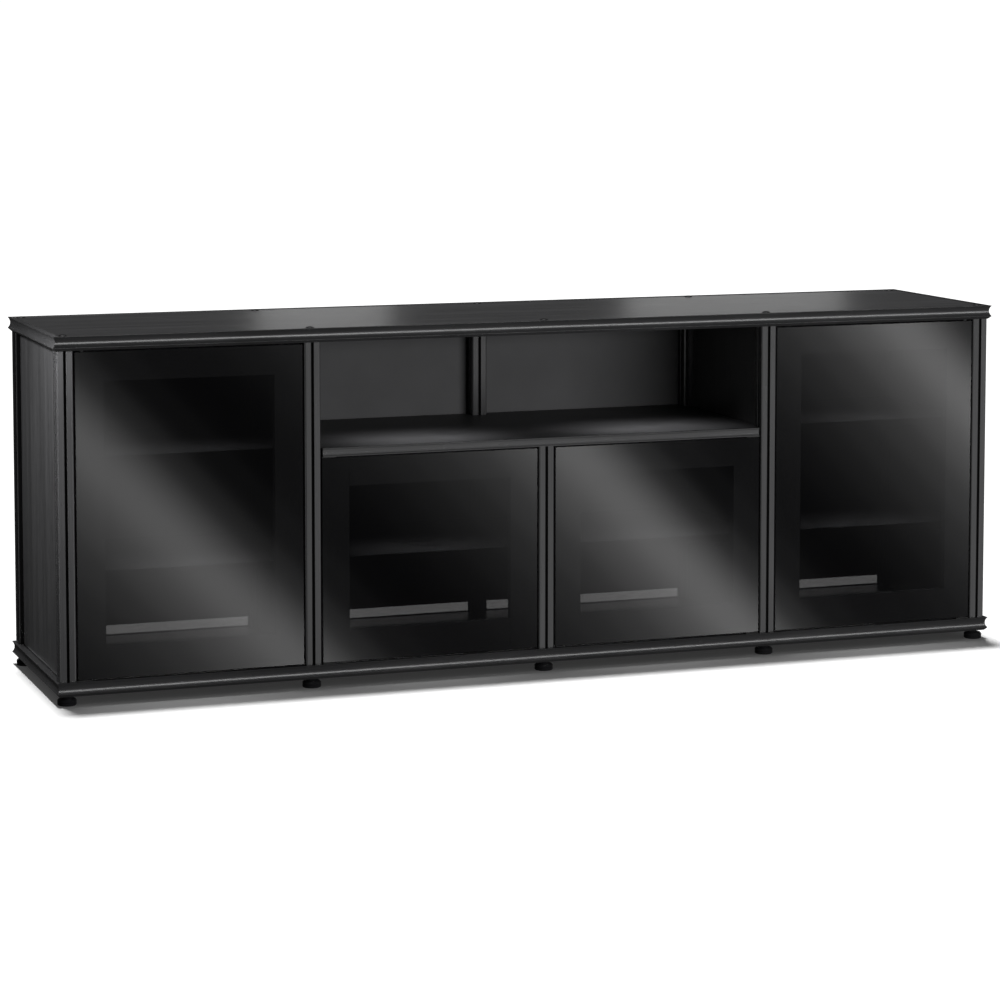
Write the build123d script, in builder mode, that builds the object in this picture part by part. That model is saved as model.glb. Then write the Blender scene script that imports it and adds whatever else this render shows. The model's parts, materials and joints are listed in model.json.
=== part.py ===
from build123d import *
import os

# A four-bay media cabinet on a slotted post frame.
# X runs along the cabinet, Y from the doors (-Y) to the back (+Y), Z up.
# The origin is on the floor, under the middle of the cabinet.

# ------------------------------------------------------------- overall sizes, mm
BAY_PITCH = 530.0            # centre to centre of neighbouring posts
FRAME_DEPTH = 474.0          # front face of the front posts to rear face of the rear posts
TOP_LIP_HEIGHT = 772.0       # upper lip of the top rails above the floor
GROUND_CLEARANCE = 26.0      # lower lip of the bottom rails above the floor

# ------------------------------------------------------------- post extrusion
POST = 36.0                  # square section
POST_CORNER = 4.5            # corner radius
SLOT_MOUTH = 6.0             # width of the slot's mouth
SLOT_MOUTH_DEPTH = 3.0
SLOT_CHAMBER = 11.0          # width of the slot behind its mouth
SLOT_CHAMBER_DEPTH = 4.0
SLOT_EDGE_ROUND = 0.8
POST_CORE = 4.05             # radius of the core bore, which takes M8 studs

# ------------------------------------------------------------- rail extrusion
RAIL_HEIGHT = 24.5           # lower lip to upper lip
LIP_OUT = 7.0                # lips stand out from the post faces
RAIL_SCOOP = 4.4             # depth of the hollow between the lips
RAIL_INSET = 8.0             # the rail reaches this far in over the post ends
LIP_RISE = 1.0               # the upper lip stands above the panel
LIP_FLAT = 0.8               # flat on each lip
SKIRT_DROP = 6.0             # the skirt hangs below the lower lip, over the post faces
SKIRT_GAP = 0.2              # skirt to post face

# ------------------------------------------------------------- panels and shelves
PANEL = 25.0                 # top and bottom panels
WALL = 12.0                  # side panels and dividers
TONGUE_SLACK = 0.2           # each side of a tongue in a slot's mouth
TONGUE_DEPTH = 5.0
BACK_PANEL = 4.0
BACK_OVERLAP = 12.0          # a back panel covers this much of each post
BACK_PANEL_GAP = 0.5         # back panel to the skirt of the top rail
CABLE_SLOT = 22.5            # open height below the back panels
SHELF = 16.0
SHELF_GAP = 2.0              # shelf end to wall
SHELF_FRONT_GAP = 9.0        # behind the front posts
SHELF_REAR_GAP = 6.0         # in front of the rear posts
LOWER_SHELF_TOP = 272.0
CENTRE_SHELF = 18.0
CENTRE_SHELF_TOP = 514.0
CENTRE_SHELF_GAP = 0.5       # round the posts and walls
TRIM_DEPTH = 12.5
TRIM_SETBACK = 0.5           # behind the post faces
TRIM_END_GAP = 4.6           # trim end to post
TRIM_SCOOP = 2.0
TRIM_LIP = 1.2
SUPPORT_BAR = 20.0           # square bar under the inner shelf ends
SHELF_MEETING_GAP = 2.0      # between the two inner shelves

# ------------------------------------------------------------- shelf pins
PIN_PEG = 2.5                # peg radius
PIN_PEG_DEPTH = 5.0
PIN_HOLE_SLACK = 0.05
PIN_PAD = 8.0                # square pad that carries the shelf
PIN_PAD_OUT = 9.0
PIN_INSET = 50.0             # from the shelf's front and rear edges
PIN_PITCH = 32.0             # spacing of the spare holes
PIN_ROWS = 5

# ------------------------------------------------------------- doors
DOOR_SIDE_GAP = 3.0
DOOR_BOTTOM_GAP = 3.5        # above the bottom panel
DOOR_TOP_GAP = 8.0           # below the top panel
INNER_DOOR_TOP_GAP = 3.0     # below the centre shelf
DOOR_SETBACK = 1.0           # glass behind the post faces
GLASS = 4.0
GLASS_BEVEL = 0.6
DOOR_FRAME = 18.0            # depth of the frame behind the glass
STILE = 61.0
FRAME_JOINT = 0.1            # hairline between a stile and the members
TOP_MEMBER = 62.0
BOTTOM_MEMBER = 68.0
PIVOT_INSET = 15.0           # pivot axis from the door's hinge edge
PIVOT_BEHIND = 8.0           # pivot axis behind the face of the glass
PIVOT_PIN = 2.5              # pin radius
PIVOT_SLACK = 0.05           # running clearance in the frame, on the radius
PIVOT_REACH = 12.0           # pin inside the door frame
PIVOT_BORE_SPARE = 2.0       # bore deeper than the pin
PIVOT_SHOULDER = 4.5         # shoulder radius
PIVOT_END_PLAY = 0.5         # shoulder to door
PLATE_LENGTH = 30.0
PLATE_WIDTH = 14.0
PLATE = 2.0

# ------------------------------------------------------------- push latches
LATCH_WIDTH = 16.0
LATCH_HEIGHT = 22.0
LATCH_LENGTH = 45.0
LATCH_FROM_EDGE = 40.0       # from the door's free edge
PLUNGER = 4.0                # radius
PLUNGER_SLACK = 0.05
PLUNGER_LENGTH = 34.0
PLUNGER_OUT = 6.0            # tip in front of the housing
PLUNGER_DOOR_GAP = 0.5       # tip to the closed door
PLUNGER_STROKE = 4.0
PLUNGER_BORE_SPARE = 4.0     # bore left behind the plunger at full stroke
PLUNGER_RAISE = 7.0          # plunger axis above the housing's underside

# ------------------------------------------------------------- feet, cap bolts and screws
FOOT_PAD = 20.0              # radius
FOOT_PAD_HEIGHT = 14.0
FOOT_EDGE = 1.5              # bevel round the pad
FOOT_GROOVE = 0.9            # depth of the ring round the pad
FOOT_GROOVE_Z = 5.5          # height where the ring starts
FOOT_NECK = 6.0              # radius of the neck above the pad
FOOT_SHOULDER = 12.0         # radius at the base of the shoulder
FOOT_PANEL_GAP = 0.5         # neck to the bottom panel
STUD = 4.0                   # radius of the foot's stud and the cap bolt's shank
STUD_PANEL_SLACK = 0.5       # panel bore, on the radius
STUD_IN_POST = 30.0
CAP_HEAD = 9.25              # radius of the cap bolt's domed head
CAP_HEAD_HEIGHT = 3.5
CAP_RIM = 0.6                # straight edge under the dome
SCREW_SHANK = 1.5
SCREW_HEAD = 3.4
SCREW_HEAD_HEIGHT = 1.2
SCREW_LENGTH = 9.0
SCREW_EDGE = 6.0             # from the back panel's side edge
SCREW_END = 40.0             # from the back panel's top and bottom edges

# ------------------------------------------------------------- places worked out from the sizes
BAYS = range(4)
POST_X = [BAY_PITCH * (i - 2) for i in range(5)]
HALF_POST = POST / 2
HALF_WIDTH = POST_X[-1] + HALF_POST
HALF_DEPTH = FRAME_DEPTH / 2
FRONT_POST_Y = -HALF_DEPTH + HALF_POST
REAR_POST_Y = -FRONT_POST_Y
TOP_RAIL_Z = TOP_LIP_HEIGHT - RAIL_HEIGHT
BOTTOM_RAIL_Z = GROUND_CLEARANCE
PANEL_TOP = RAIL_HEIGHT - LIP_RISE           # above a rail's lower lip
POST_BOTTOM = BOTTOM_RAIL_Z + PANEL_TOP
POST_TOP = TOP_RAIL_Z + PANEL_TOP - PANEL
CENTRE_SHELF_BOTTOM = CENTRE_SHELF_TOP - CENTRE_SHELF
SHELF_FRONT = FRONT_POST_Y + HALF_POST + SHELF_FRONT_GAP
SHELF_REAR = REAR_POST_Y - HALF_POST - SHELF_REAR_GAP
WALL_LENGTH = FRAME_DEPTH - 2 * POST
PIN_Y = [SHELF_FRONT + PIN_INSET, SHELF_REAR - PIN_INSET]
GLASS_FACE_Y = -HALF_DEPTH + DOOR_SETBACK
FRAME_FACE_Y = GLASS_FACE_Y + GLASS
DOOR_BACK_Y = FRAME_FACE_Y + DOOR_FRAME
PIVOT_Y = GLASS_FACE_Y + PIVOT_BEHIND
DOOR_WIDTH = BAY_PITCH - POST - 2 * DOOR_SIDE_GAP
DOOR_BOTTOM = POST_BOTTOM + DOOR_BOTTOM_GAP
OUTER_DOOR_TOP = POST_TOP - DOOR_TOP_GAP
INNER_DOOR_TOP = CENTRE_SHELF_BOTTOM - INNER_DOOR_TOP_GAP
LATCH_FRONT = DOOR_BACK_Y + PLUNGER_DOOR_GAP + PLUNGER_OUT

BACK_WIDTH = BAY_PITCH - POST + 2 * BACK_OVERLAP
BACK_BOTTOM = POST_BOTTOM + CABLE_SLOT
BACK_TOP = TOP_RAIL_Z - SKIRT_DROP - BACK_PANEL_GAP
WALL_POSTS = (1, 2, 4, 5)    # posts that a side panel or a divider runs back from

os.makedirs("parts", exist_ok=True)


def save(builder, name):
    """Label a finished piece and write it."""
    builder.part.label = name
    export_step(builder.part, f"parts/{name}.step")


def bay_centre(bay):
    return (POST_X[bay] + POST_X[bay + 1]) / 2


def hinge_side(bay):
    """-1 where the door is hung on its left, 1 where it is hung on its right."""
    return -1 if bay < 2 else 1


def door_top(bay):
    return INNER_DOOR_TOP if bay in (1, 2) else OUTER_DOOR_TOP


def door_ceiling(bay):
    """Underside of what the door's upper pivot and its latch hang from."""
    return CENTRE_SHELF_BOTTOM if bay in (1, 2) else POST_TOP


def pivot_x(bay):
    return bay_centre(bay) + hinge_side(bay) * (DOOR_WIDTH / 2 - PIVOT_INSET)


def latch_x(bay):
    return bay_centre(bay) - hinge_side(bay) * (DOOR_WIDTH / 2 - LATCH_FROM_EDGE)


def shelf_end(post, side):
    """X of a shelf's end at a post: short of its wall, or of the middle where it has none."""
    gap = WALL / 2 + SHELF_GAP if post in WALL_POSTS else SHELF_MEETING_GAP / 2
    return POST_X[post - 1] + side * gap


SCREW_PLACES = [
    (bay_centre(bay) + side * (BACK_WIDTH / 2 - SCREW_EDGE), z)
    for bay in BAYS
    for side in (-1, 1)
    for z in (BACK_BOTTOM + SCREW_END, (BACK_BOTTOM + BACK_TOP) / 2, BACK_TOP - SCREW_END)
]

# Each adjustable shelf: its bay, counted from 0, and the height of its top.
SHELVES = {
    "bay_1_lower_shelf": (0, LOWER_SHELF_TOP),
    "bay_1_upper_shelf": (0, CENTRE_SHELF_TOP),
    "bay_2_shelf": (1, LOWER_SHELF_TOP),
    "bay_3_shelf": (2, LOWER_SHELF_TOP),
    "bay_4_lower_shelf": (3, LOWER_SHELF_TOP),
    "bay_4_upper_shelf": (3, CENTRE_SHELF_TOP),
}

# Where pins stand: post number, side of its wall, height of the pin, rows of holes there.
PIN_SETS = [
    (post, side, top - SHELF - PIN_PAD / 2, PIN_ROWS)
    for bay, top in SHELVES.values()
    for post, side in ((bay + 1, 1), (bay + 2, -1))
    if post in WALL_POSTS
]
PIN_SETS += [(post, side, CENTRE_SHELF_BOTTOM - PIN_PAD / 2, 1) for post, side in ((2, 1), (4, -1))]

# ------------------------------------------------------------- sections used more than once
with BuildSketch() as post_section:
    Rectangle(POST, POST)
    fillet(post_section.vertices(), POST_CORNER)
    with PolarLocations(HALF_POST - SLOT_MOUTH_DEPTH / 2, 4):
        Rectangle(SLOT_MOUTH_DEPTH, SLOT_MOUTH, mode=Mode.SUBTRACT)
    with PolarLocations(HALF_POST - SLOT_MOUTH_DEPTH - SLOT_CHAMBER_DEPTH / 2, 4):
        Rectangle(SLOT_CHAMBER_DEPTH, SLOT_CHAMBER, mode=Mode.SUBTRACT)
    Circle(POST_CORE, mode=Mode.SUBTRACT)
    mouth = SLOT_MOUTH / 2 + 0.01
    mouth_edges = post_section.vertices().filter_by(
        lambda v: max(abs(v.X), abs(v.Y)) > HALF_POST - 0.01 and min(abs(v.X), abs(v.Y)) < mouth
    )
    fillet(mouth_edges, SLOT_EDGE_ROUND)

# The rail's section: X points out of the cabinet from the post faces, Y up from the lower lip.
with BuildSketch() as rail_section:
    with BuildLine():
        scoop = ThreePointArc(
            (LIP_OUT, LIP_FLAT),
            (LIP_OUT - RAIL_SCOOP, RAIL_HEIGHT / 2),
            (LIP_OUT, RAIL_HEIGHT - LIP_FLAT),
        )
        Polyline(
            scoop @ 1,
            (LIP_OUT, RAIL_HEIGHT),
            (SKIRT_GAP + LIP_RISE, RAIL_HEIGHT),
            (SKIRT_GAP, PANEL_TOP),
            (-RAIL_INSET, PANEL_TOP),
            (-RAIL_INSET, PANEL_TOP - PANEL),
            (SKIRT_GAP, PANEL_TOP - PANEL),
            (SKIRT_GAP, -SKIRT_DROP),
            (SKIRT_GAP + LIP_FLAT, -SKIRT_DROP),
            (LIP_OUT, 0),
            scoop @ 0,
        )
    make_face()

# ------------------------------------------------------------- top and bottom panels with their rails
for level, lip_z in (("top", TOP_RAIL_Z), ("bottom", BOTTOM_RAIL_Z)):
    with BuildPart() as panel:
        with BuildSketch(Plane.XY.offset(lip_z + PANEL_TOP - PANEL)):
            Rectangle(2 * (HALF_WIDTH - RAIL_INSET), 2 * (HALF_DEPTH - RAIL_INSET))
            with Locations(*[(x, y) for x in POST_X for y in (FRONT_POST_Y, REAR_POST_Y)]):
                Circle(STUD + STUD_PANEL_SLACK, mode=Mode.SUBTRACT)
        extrude(amount=PANEL)
    save(panel, f"{level}_panel")

    for side, out, run in (
        ("front", (0, -1, 0), (1, 0, 0)),
        ("rear", (0, 1, 0), (-1, 0, 0)),
        ("left", (-1, 0, 0), (0, -1, 0)),
        ("right", (1, 0, 0), (0, 1, 0)),
    ):
        outward = Vector(*out)
        along = Vector(*run)
        reach = HALF_DEPTH if side in ("front", "rear") else HALF_WIDTH
        half_length = HALF_WIDTH if side in ("front", "rear") else HALF_DEPTH
        face_middle = outward * reach + Vector(0, 0, lip_z)
        with BuildPart() as rail:
            with BuildSketch(Plane(origin=face_middle, x_dir=outward, z_dir=outward.cross(Vector(0, 0, 1)))):
                add(rail_section.sketch)
            extrude(amount=half_length + 2 * LIP_OUT, both=True)
            for end in (along, -along):
                corner = face_middle + end * half_length
                split(bisect_by=Plane(origin=corner, z_dir=end - outward), keep=Keep.BOTTOM)
        save(rail, f"{level}_{side}_rail")

# ------------------------------------------------------------- posts
for number, x in enumerate(POST_X, start=1):
    top = CENTRE_SHELF_BOTTOM if number == 3 else POST_TOP
    with BuildPart() as front_post:
        with BuildSketch(Plane(origin=(x, FRONT_POST_Y, POST_BOTTOM))):
            add(post_section.sketch)
        extrude(amount=top - POST_BOTTOM)
    save(front_post, f"front_post_{number}")

with BuildPart() as rear_posts:
    for x in POST_X:
        with BuildSketch(Plane(origin=(x, REAR_POST_Y, POST_BOTTOM))):
            add(post_section.sketch)
        extrude(amount=POST_TOP - POST_BOTTOM)
    # Each screw of the back panels has its own hole in a rib of its post.
    with BuildSketch(Plane.XZ.offset(-HALF_DEPTH)):
        with Locations(*SCREW_PLACES):
            Circle(SCREW_SHANK)
    extrude(amount=SCREW_LENGTH, mode=Mode.SUBTRACT)
save(rear_posts, "rear_posts")

# ------------------------------------------------------------- walls
for number, name in ((1, "left_side_panel"), (2, "left_divider"), (4, "right_divider"), (5, "right_side_panel")):
    x = POST_X[number - 1]
    with BuildPart() as wall:
        with BuildSketch(Plane(origin=(x, 0, POST_BOTTOM))):
            Rectangle(WALL, WALL_LENGTH)
            Rectangle(SLOT_MOUTH - 2 * TONGUE_SLACK, WALL_LENGTH + 2 * TONGUE_DEPTH)
        extrude(amount=POST_TOP - POST_BOTTOM)
        for post, side, height, rows in PIN_SETS:
            if post == number:
                middle = (sum(PIN_Y) / 2, height)
                with BuildSketch(Plane.YZ.offset(x + side * WALL / 2)):
                    with Locations(middle):
                        with GridLocations(PIN_Y[1] - PIN_Y[0], PIN_PITCH, 2, rows):
                            Circle(PIN_PEG + PIN_HOLE_SLACK)
                extrude(amount=-side * PIN_PEG_DEPTH, mode=Mode.SUBTRACT)
    save(wall, name)

# ------------------------------------------------------------- back panels and their screws
for bay in BAYS:
    with BuildPart() as back_panel:
        with BuildSketch(Plane.XZ.offset(-HALF_DEPTH - BACK_PANEL)):
            with Locations((bay_centre(bay), (BACK_BOTTOM + BACK_TOP) / 2)):
                Rectangle(BACK_WIDTH, BACK_TOP - BACK_BOTTOM)
            with Locations(*SCREW_PLACES):
                Circle(SCREW_SHANK, mode=Mode.SUBTRACT)
        extrude(amount=BACK_PANEL)
    save(back_panel, f"back_panel_{bay + 1}")

with BuildPart() as screws:
    with BuildSketch(Plane.XZ.offset(-HALF_DEPTH - BACK_PANEL)):
        with Locations(*SCREW_PLACES):
            Circle(SCREW_SHANK)
    extrude(amount=BACK_PANEL + SCREW_LENGTH)
    with BuildSketch(Plane.XZ.offset(-HALF_DEPTH - BACK_PANEL)):
        with Locations(*SCREW_PLACES):
            Circle(SCREW_HEAD)
    extrude(amount=-SCREW_HEAD_HEIGHT)
    chamfer(screws.edges().group_by(Axis.Y)[-1], SCREW_HEAD_HEIGHT / 2)
save(screws, "back_panel_screws")

# ------------------------------------------------------------- centre shelf, its trim and the support bar
shelf_front = -HALF_DEPTH + TRIM_SETBACK + TRIM_DEPTH
shelf_rear = HALF_DEPTH - CENTRE_SHELF_GAP
shelf_half = POST_X[3] - WALL / 2 - CENTRE_SHELF_GAP
notch = POST + 2 * CENTRE_SHELF_GAP
with BuildPart() as centre_shelf:
    with BuildSketch(Plane.XY.offset(CENTRE_SHELF_BOTTOM)):
        with Locations((0, (shelf_front + shelf_rear) / 2)):
            Rectangle(2 * shelf_half, shelf_rear - shelf_front)
        corners = [(POST_X[i], y) for i in (1, 3) for y in (FRONT_POST_Y, REAR_POST_Y)]
        with Locations(*corners, (POST_X[2], REAR_POST_Y)):
            Rectangle(notch, notch, mode=Mode.SUBTRACT)
    extrude(amount=CENTRE_SHELF)
save(centre_shelf, "centre_shelf")

with BuildPart() as trim:
    face = Plane(
        origin=(0, -HALF_DEPTH + TRIM_SETBACK, CENTRE_SHELF_BOTTOM), x_dir=(0, -1, 0), z_dir=(-1, 0, 0)
    )
    with BuildSketch(face):
        with BuildLine():
            hollow = ThreePointArc(
                (0, TRIM_LIP), (-TRIM_SCOOP, CENTRE_SHELF / 2), (0, CENTRE_SHELF - TRIM_LIP)
            )
            Polyline(
                hollow @ 1,
                (0, CENTRE_SHELF),
                (-TRIM_DEPTH, CENTRE_SHELF),
                (-TRIM_DEPTH, 0),
                (0, 0),
                hollow @ 0,
            )
        make_face()
    extrude(amount=BAY_PITCH - HALF_POST - TRIM_END_GAP, both=True)
save(trim, "centre_shelf_trim")

with BuildPart() as support_bar:
    bar_middle = LOWER_SHELF_TOP - SHELF - SUPPORT_BAR / 2
    with BuildSketch(Plane.XZ.offset(-WALL_LENGTH / 2)):
        with Locations((0, bar_middle)):
            Rectangle(SUPPORT_BAR, SUPPORT_BAR)
    extrude(amount=WALL_LENGTH)
    with BuildSketch(Plane.XZ.offset(-WALL_LENGTH / 2 - TONGUE_DEPTH)):
        with Locations((0, bar_middle)):
            Rectangle(SLOT_MOUTH - 2 * TONGUE_SLACK, SUPPORT_BAR)
    extrude(amount=WALL_LENGTH + 2 * TONGUE_DEPTH)
save(support_bar, "centre_support_bar")

# ------------------------------------------------------------- adjustable shelves and their pins
for name, (bay, top) in SHELVES.items():
    left = shelf_end(bay + 1, 1)
    right = shelf_end(bay + 2, -1)
    with BuildPart() as shelf:
        with BuildSketch(Plane.XY.offset(top - SHELF)):
            with Locations(((left + right) / 2, (SHELF_FRONT + SHELF_REAR) / 2)):
                Rectangle(right - left, SHELF_REAR - SHELF_FRONT)
        extrude(amount=SHELF)
    save(shelf, name)

with BuildPart() as pins:
    for post, side, height, rows in PIN_SETS:
        wall_face = POST_X[post - 1] + side * WALL / 2
        with BuildSketch(Plane.YZ.offset(wall_face)):
            with Locations(*[(y, height) for y in PIN_Y]):
                Rectangle(PIN_PAD, PIN_PAD)
        extrude(amount=side * PIN_PAD_OUT)
        with BuildSketch(Plane.YZ.offset(wall_face)):
            with Locations(*[(y, height) for y in PIN_Y]):
                Circle(PIN_PEG)
        extrude(amount=-side * PIN_PEG_DEPTH)
save(pins, "shelf_pins")

# ------------------------------------------------------------- doors
for bay in BAYS:
    middle = bay_centre(bay)
    top = door_top(bay)
    height = top - DOOR_BOTTOM
    with BuildPart() as door_frame:
        # The stiles run the whole height, and the members between them stop a hairline short.
        with BuildSketch(Plane.XZ.offset(-DOOR_BACK_Y)):
            with Locations((middle, DOOR_BOTTOM + height / 2)):
                with GridLocations(DOOR_WIDTH - STILE, 0, 2, 1):
                    Rectangle(STILE, height)
            member = DOOR_WIDTH - 2 * STILE - 2 * FRAME_JOINT
            with Locations((middle, DOOR_BOTTOM + BOTTOM_MEMBER / 2)):
                Rectangle(member, BOTTOM_MEMBER)
            with Locations((middle, top - TOP_MEMBER / 2)):
                Rectangle(member, TOP_MEMBER)
        extrude(amount=DOOR_FRAME)
        for level, inward in ((DOOR_BOTTOM, 1), (top, -1)):
            with BuildSketch(Plane(origin=(pivot_x(bay), PIVOT_Y, level))):
                Circle(PIVOT_PIN + PIVOT_SLACK)
            extrude(amount=inward * (PIVOT_REACH + PIVOT_BORE_SPARE), mode=Mode.SUBTRACT)
    save(door_frame, f"door_frame_{bay + 1}")

    with BuildPart() as glass:
        with BuildSketch(Plane.XZ.offset(-FRAME_FACE_Y)):
            with Locations((middle, DOOR_BOTTOM + height / 2)):
                Rectangle(DOOR_WIDTH, height)
        extrude(amount=GLASS)
        chamfer(glass.faces().sort_by(Axis.Y)[0].edges(), GLASS_BEVEL)
    save(glass, f"door_glass_{bay + 1}")

with BuildPart() as pivots:
    for bay in BAYS:
        for seat, door_end, inward in ((POST_BOTTOM, DOOR_BOTTOM, 1), (door_ceiling(bay), door_top(bay), -1)):
            x = pivot_x(bay)
            with BuildSketch(Plane(origin=(x, PIVOT_Y, seat))):
                Rectangle(PLATE_LENGTH, PLATE_WIDTH)
            extrude(amount=inward * PLATE)
            with BuildSketch(Plane(origin=(x, PIVOT_Y, seat))):
                Circle(PIVOT_SHOULDER)
            extrude(amount=door_end - seat - inward * PIVOT_END_PLAY)
            with BuildSketch(Plane(origin=(x, PIVOT_Y, seat))):
                Circle(PIVOT_PIN)
            extrude(amount=door_end - seat + inward * PIVOT_REACH)
save(pivots, "pivot_pins")

# ------------------------------------------------------------- push latches
with BuildPart() as housings:
    for bay in BAYS:
        underside = door_ceiling(bay) - LATCH_HEIGHT
        with BuildSketch(Plane.XZ.offset(-LATCH_FRONT - LATCH_LENGTH)):
            with Locations((latch_x(bay), underside + LATCH_HEIGHT / 2)):
                Rectangle(LATCH_WIDTH, LATCH_HEIGHT)
        extrude(amount=LATCH_LENGTH)
        with BuildSketch(Plane.XZ.offset(-LATCH_FRONT)):
            with Locations((latch_x(bay), underside + PLUNGER_RAISE)):
                Circle(PLUNGER + PLUNGER_SLACK)
        bore = PLUNGER_LENGTH - PLUNGER_OUT + PLUNGER_STROKE + PLUNGER_BORE_SPARE
        extrude(amount=-bore, mode=Mode.SUBTRACT)
save(housings, "latch_housings")

for bay in BAYS:
    axis_z = door_ceiling(bay) - LATCH_HEIGHT + PLUNGER_RAISE
    with BuildPart() as plunger:
        with BuildSketch(Plane.XZ.offset(-LATCH_FRONT + PLUNGER_OUT)):
            with Locations((latch_x(bay), axis_z)):
                Circle(PLUNGER)
        extrude(amount=-PLUNGER_LENGTH)
        fillet(plunger.edges().sort_by(Axis.Y)[0], PLUNGER / 2)
    save(plunger, f"latch_plunger_{bay + 1}")

# ------------------------------------------------------------- levelling feet
neck_top = BOTTOM_RAIL_Z + PANEL_TOP - PANEL - FOOT_PANEL_GAP
foot_number = 0
for y in (FRONT_POST_Y, REAR_POST_Y):
    for x in POST_X:
        foot_number += 1
        with BuildPart() as foot:
            with BuildSketch(Plane(origin=(x, y, 0), x_dir=(1, 0, 0), z_dir=(0, -1, 0))):
                with BuildLine():
                    Polyline(
                        (0, POST_BOTTOM + STUD_IN_POST),
                        (0, 0),
                        (FOOT_PAD - FOOT_EDGE, 0),
                        (FOOT_PAD, FOOT_EDGE),
                        (FOOT_PAD, FOOT_GROOVE_Z),
                        (FOOT_PAD - FOOT_GROOVE, FOOT_GROOVE_Z + FOOT_GROOVE),
                        (FOOT_PAD, FOOT_GROOVE_Z + 2 * FOOT_GROOVE),
                        (FOOT_PAD, FOOT_PAD_HEIGHT - 2 * FOOT_EDGE),
                        (FOOT_PAD - 2 * FOOT_EDGE, FOOT_PAD_HEIGHT),
                        (FOOT_SHOULDER, FOOT_PAD_HEIGHT),
                        (FOOT_NECK, BOTTOM_RAIL_Z - SKIRT_DROP),
                        (FOOT_NECK, neck_top),
                        (STUD, neck_top),
                        (STUD, POST_BOTTOM + STUD_IN_POST),
                        close=True,
                    )
                make_face()
            revolve(axis=Axis((x, y, 0), (0, 0, 1)))
        save(foot, f"foot_{foot_number}")

# ------------------------------------------------------------- cap bolts
panel_face = TOP_RAIL_Z + PANEL_TOP
with BuildPart() as cap_bolts:
    for number, x in enumerate(POST_X, start=1):
        for y in (FRONT_POST_Y, REAR_POST_Y):
            # The short middle post ends below, so that bolt stops at the panel's underside.
            shank_end = POST_TOP if number == 3 and y < 0 else POST_TOP - STUD_IN_POST
            with BuildSketch(Plane(origin=(x, y, 0), x_dir=(1, 0, 0), z_dir=(0, -1, 0))):
                with BuildLine():
                    dome = TangentArc(
                        (0, panel_face + CAP_HEAD_HEIGHT), (CAP_HEAD, panel_face + CAP_RIM), tangent=(1, 0)
                    )
                    Polyline(
                        dome @ 1,
                        (CAP_HEAD, panel_face),
                        (STUD, panel_face),
                        (STUD, shank_end),
                        (0, shank_end),
                        dome @ 0,
                    )
                make_face()
            revolve(axis=Axis((x, y, 0), (0, 0, 1)))
save(cap_bolts, "cap_bolts")
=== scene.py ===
import json
import math

import bmesh
import bpy
from bpy.props import FloatProperty, FloatVectorProperty, PointerProperty
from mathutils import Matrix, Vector

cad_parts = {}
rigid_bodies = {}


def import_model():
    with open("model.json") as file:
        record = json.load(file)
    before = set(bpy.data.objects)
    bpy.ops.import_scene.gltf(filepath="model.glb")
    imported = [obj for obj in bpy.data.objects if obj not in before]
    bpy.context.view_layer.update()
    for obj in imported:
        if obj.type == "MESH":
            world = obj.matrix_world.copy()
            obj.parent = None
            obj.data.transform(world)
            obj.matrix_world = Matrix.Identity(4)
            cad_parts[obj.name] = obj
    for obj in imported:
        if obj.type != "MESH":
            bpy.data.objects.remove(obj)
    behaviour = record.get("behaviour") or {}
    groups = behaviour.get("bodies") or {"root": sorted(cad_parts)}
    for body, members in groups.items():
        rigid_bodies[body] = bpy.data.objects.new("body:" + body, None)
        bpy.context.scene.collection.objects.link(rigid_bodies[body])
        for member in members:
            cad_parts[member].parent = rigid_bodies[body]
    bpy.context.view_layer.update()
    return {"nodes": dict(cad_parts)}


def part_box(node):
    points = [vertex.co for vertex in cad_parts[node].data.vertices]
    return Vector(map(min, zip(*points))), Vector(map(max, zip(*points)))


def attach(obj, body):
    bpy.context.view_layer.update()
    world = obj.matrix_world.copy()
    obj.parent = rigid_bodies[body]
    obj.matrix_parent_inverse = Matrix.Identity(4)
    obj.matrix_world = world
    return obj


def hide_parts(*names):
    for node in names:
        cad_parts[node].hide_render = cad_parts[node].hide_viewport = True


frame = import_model()

bl_info = {
    "name": "Media Cabinet",
    "version": (1, 0, 0),
    "blender": (4, 5, 0),
    "location": "View3D > Sidebar > Cabinet",
    "description": "Finishes a four-bay media cabinet on a slotted aluminium frame and sets its studio",
    "category": "Object",
}

NODES = frame["nodes"]
MM = 0.001
POST_LOW, POST_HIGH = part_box("front_post_3")
POST_HALF = (POST_HIGH[0] - POST_LOW[0]) / 2
POST_ROW = -(POST_HIGH[1] + POST_LOW[1]) / 2
POST_PITCH = (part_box("front_post_5")[0][0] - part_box("front_post_1")[0][0]) / 4
SLOT_PAINTED_SHADE_TO = 3.5 * MM      # a post's slots are darkened with painted shade from its middle to this far inside its faces
SLOT_UNSHADED_FROM = 0.8 * MM   # and have the plain finish, without painted shade, from here out
MERGE_GAP = 0.01 * MM        # corners of loose triangles nearer than this are one corner
SCREW_FACE = 0.1 * MM        # corners this near the outermost plane belong to a screw's flat face
UPRIGHT = (math.pi / 2, 0, 0)
DOORS = range(1, 5)
SHELVES = (
    "bay_1_lower_shelf", "bay_1_upper_shelf", "bay_2_shelf",
    "bay_3_shelf", "bay_4_lower_shelf", "bay_4_upper_shelf",
)


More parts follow.
